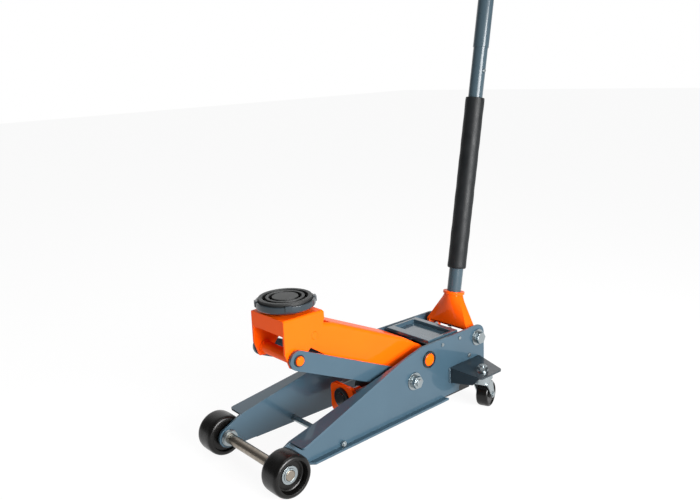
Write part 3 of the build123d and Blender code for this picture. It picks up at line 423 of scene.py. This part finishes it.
# ---- Levelling links -------------------------------------------------------
# Two flat bars with rounded ends, outside the arm, which keep the saddle bracket level as the
# arm rises. Blue-grey enamel, with paint-thinned edges.
for side in ("left", "right"):
    eased(f"level_link_{side}_bar", f"level_link_{side}", blue_enamel, 0.8)


# ---- Bolts, nuts and washers -----------------------------------------------
# Bought-in fasteners with bright zinc plate: hexagon bolts for the links and the handle socket,
# with flat and spring washers outside the frame, and small screws for the tray cover.
eased("link_bolt_set", "link_bolts", zinc, 0.9)
eased("yoke_bolt_set", "yoke_bolts", zinc, 0.9)
eased("frame_washer_set", "frame_washers", zinc, 0.4)
eased("unit_bolt_set", "unit_bolts", zinc, 0.6)
eased("cover_screw_set", "cover_screws", zinc, 0.4)


# ---- Hydraulic unit --------------------------------------------------------
# A cast iron pump block with its lifting cylinder, painted black over the sand-cast skin. A hard
# chromed ram pushes a crosshead, whose two orange bars drive the arm's crank.
eased("power_unit_casting", "power_unit", black_enamel, 1.5)
eased("cylinder_tube", "cylinder", black_enamel, 0.8)
eased("cylinder_gland_ring", "cylinder_gland", black_enamel, 1.2)
hard_chrome = plated("hard_chrome", "DADCDE", "C8CBCE", 0.07, 0.08, 0.05)
eased("ram_rod", "ram", hard_chrome, 0.6)
eased("ram_nut_ring", "ram_nut", black_enamel, 1.5)
ram_low, ram_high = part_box("ram")
spun("ram_end_cap", [(0, 0.05), (13.6, 0.05), (14.2, 0.6), (13.6, 1.3), (9, 1.3), (8.4, 0.7), (0, 0.7)],
     Vector((ram_high.x, (ram_low.y + ram_high.y) / 2, (ram_low.z + ram_high.z) / 2)), (1, 0, 0),
     black_enamel, "ram")
eased("crosshead_plate", "crosshead", orange_enamel, 1.6)
eased("pull_bar_pair", "pull_bars", orange_enamel, 0.8)
eased("spring_anchor_plate", "spring_anchor", black_enamel, 0.5)
crosshead_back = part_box("crosshead")[0].x
for sign in (1, -1):
    corner = Vector((crosshead_back, sign * 36.8 * mm, 0.0))
    weld("pull_bar_weld_" + ("left" if sign > 0 else "right"),
         [corner + Vector((0.0, 0.0, 44 * mm)), corner + Vector((0.0, 0.0, 64 * mm))],
         5.0 * mm, orange_enamel, "ram")


# ---- Springs ---------------------------------------------------------------
# Two long extension springs beside the cylinder draw the ram home, and a short compression
# spring returns the pump plunger. Zinc-plated music wire, wound on a mandrel.
def coil(name, node, radius, wire, turns):
    """Coils of round wire along X, as long as a CAD node: one for the pump, two for the ram."""
    low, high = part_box(node)
    lines = [(low.y + high.y) / 2] if node == "pump_spring" else [low.y + 4.5 * mm, high.y - 4.5 * mm]
    bm = bmesh.new()
    for line in lines:
        middle = Vector((low.x, line, (low.z + high.z) / 2))
        facing = Matrix.Translation(middle + Vector((wire * mm / 2, 0.0, radius * mm)))
        ring = bmesh.ops.create_circle(bm, segments=8, radius=wire * mm / 2,
                                       matrix=facing @ Matrix.Rotation(pi / 2, 4, "X"))
        rim = list({edge for vert in ring["verts"] for edge in vert.link_edges})
        run = (high.x - low.x - wire * mm) / (turns * 18)
        bmesh.ops.spin(bm, geom=ring["verts"] + rim, cent=middle, axis=(1, 0, 0), dvec=(run, 0, 0),
                       angle=2 * pi * turns, steps=turns * 18, use_merge=False, use_duplicate=False)
    bmesh.ops.holes_fill(bm, edges=bm.edges)
    bmesh.ops.recalc_face_normals(bm, faces=bm.faces)
    return settle(name, bm, zinc, None, [node], crease=60)


return_coils = coil("return_spring_coils", "return_springs", 3.6, 1.8, 58)
pump_coil = coil("pump_spring_coil", "pump_spring", 7.6, 2.4, 4)
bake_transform(return_coils)
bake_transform(pump_coil)


# ---- Pump ------------------------------------------------------------------
# The plunger in its barrel behind the pump block, worked by a roller between the cheeks of the
# handle socket. Ground and chromed steel in a plated barrel.
eased("pump_barrel_collar", "pump_barrel", zinc, 0.6)
eased("pump_plunger_rod", "pump_plunger", hard_chrome, 0.5)
eased("roller_pin_bar", "roller_pin", zinc, 0.4)
eased("pump_roller_ring", "pump_roller", hard_chrome, 0.6)


# ---- Handle socket ---------------------------------------------------------
# A steel casting like a bell, wide enough at its foot to hinge between the side plates, with a
# round collar for the handle tube. Orange enamel, thick in the corners of the flare.
socket_orange = enamel("socket_orange_enamel", "F85A0A", "F05307", roughness=0.3, peel=0.12, gloss=0.35,
                       under=0.0)
eased("handle_socket_casting", "handle_yoke", socket_orange, 2.0, corner=30, steps=3)


# ---- Handle ----------------------------------------------------------------
# Two steel tubes in the frame's blue-grey enamel: the upper one slips over the lower and a
# spring button holds it. Both lean back along one line through the socket.
hinge_low, hinge_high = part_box("yoke_bolts")
hinge = (hinge_low + hinge_high) / 2
lean = radians(10.55)
up_handle = Vector((-sin(lean), 0.0, cos(lean)))
socket_offset = 10 * mm
handle_foot = Vector((hinge.x, 0.0, hinge.z)) + Vector((cos(lean), 0.0, sin(lean))) * socket_offset
tube_enamel = enamel("tube_enamel", "3B4A53", "35444C", roughness=0.26, peel=0.05, gloss=0.3)
spun("lower_tube_drawing",
     [(15.2, 60), (16.4, 60), (17, 60.6), (17, 743.4), (16.4, 744), (15.2, 744), (15.2, 66)],
     handle_foot, up_handle, tube_enamel, "handle", ["lower_tube"])
spun("upper_tube_drawing",
     [(17.0, 684), (17.9, 684), (18.5, 684.6), (18.5, 1059), (17.6, 1060), (17.0, 1060)],
     handle_foot, up_handle, tube_enamel, "handle", ["upper_tube"])
plug_plastic = moulded("black_polythene_plug", "0E0E0E", "171717", 0.45, 0.9, 0.2)
eased("end_plug_moulding", "end_plug", plug_plastic, 0.8)
eased("detent_button_pin", "detent_button", zinc, 0.8)
eased("release_shaft_rod", "release_shaft", zinc, 0.6)
eased("release_valve_rod", "release_valve", zinc, 0.4)


# ---- Foam sleeve -----------------------------------------------------------
# A closed-cell nitrile foam sleeve pushed up the tube, cut square at both ends. Its moulded skin
# has a soft satin light along it, tiny pores, and slow swells where the bore grips the tube.
sleeve_foam, tree = new_material("nitrile_foam_sleeve")
place = add_node(tree, "TexCoord").outputs["Object"]
bloom = add_node(tree, "TexNoise", {"Scale": 1 / (25 * mm), "Detail": 4.0}, {"Vector": place})
tint = add_node(tree, "MixRGB", {"Color1": linear("0E1012"), "Color2": linear("15181A")},
                {"Fac": bloom.outputs["Fac"]})
pores = add_node(tree, "TexVoronoi", {"Scale": 1 / (1.2 * mm)}, {"Vector": place})
skin = add_node(tree, "Bump", {"Strength": 0.3, "Distance": 0.15 * mm}, {"Height": pores.outputs["Distance"]})
gloss = add_node(tree, "MapRange", {"From Min": 0.3, "From Max": 0.7, "To Min": 0.42, "To Max": 0.56},
                 {"Value": bloom.outputs["Fac"]})
close_material(tree, {"IOR": 1.5, "Specular IOR Level": 0.25},
               {"Base Color": tint.outputs[0], "Roughness": gloss.outputs[0], "Normal": skin.outputs[0]})
swells = [(22.5 + 0.35 * sin(distance / 9.0) * sin(distance / 31.0), distance)
          for distance in range(160, 564, 4)]
sleeve = spun("foam_sleeve", [(17.0, 156.0), (21.2, 156.0), (22.3, 157.2)] + swells +
              [(22.3, 565.8), (21.2, 567.0), (17.0, 567.0)],
              handle_foot, up_handle, sleeve_foam, "handle", ["handle_grip"])


# ---- Caster brackets -------------------------------------------------------
# Brackets folded from 4 mm sheet and welded outside the side plates, given the near black dark
# grey enamel as painted shade for the shadow of the frame. The welds at their front edges catch the light.
for side, sign in (("left", 1), ("right", -1)):
    # Painted shade: the dark grey enamel stands in for the frame's shadow over the brackets.
    eased(f"caster_bracket_{side}_folding", f"caster_bracket_{side}", dark_enamel, 0.8)
    low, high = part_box(f"caster_bracket_{side}")
    root = low.y if sign > 0 else high.y
    front = Vector((high.x + 0.6 * mm, root + sign * 0.6 * mm, 0.0))
    weld(f"bracket_weld_{side}", [front + Vector((0, 0, 55 * mm)), front + Vector((0, 0, 91 * mm))],
         5.0 * mm, blue_enamel, "frame")


# ---- Casters ---------------------------------------------------------------
# Swivel casters with zinc-plated pressed forks, ball races under the bracket, a stem with its nut
# on top, and plain black nylon wheels riveted in.
swivel = radians(18.0)
eased("caster_race_pair", "caster_races", zinc, 1.2)
eased("caster_stem_pair", "caster_stems", zinc, 0.7)
for side in ("left", "right"):
    eased(f"caster_fork_{side}_pressing", f"caster_fork_{side}", zinc, 0.7)
    eased(f"caster_axle_{side}_rivet", f"caster_axle_{side}", zinc, 0.6)
    low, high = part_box(f"caster_axle_{side}")
    spun(f"caster_wheel_{side}_moulding",
         [(4.1, -14), (9, -14), (10, -13), (11, -11.5), (23, -11.5), (24, -13), (26, -14), (28.2, -13),
          (29.5, -11), (30, -8), (30, 8), (29.5, 11), (28.2, 13), (26, 14), (24, 13), (23, 11.5),
          (11, 11.5), (10, 13), (9, 14), (4.1, 14)],
         (low + high) / 2, (-sin(swivel), cos(swivel), 0.0), black_nylon, f"caster_wheel_{side}",
         [f"caster_wheel_{side}"], steps=64)
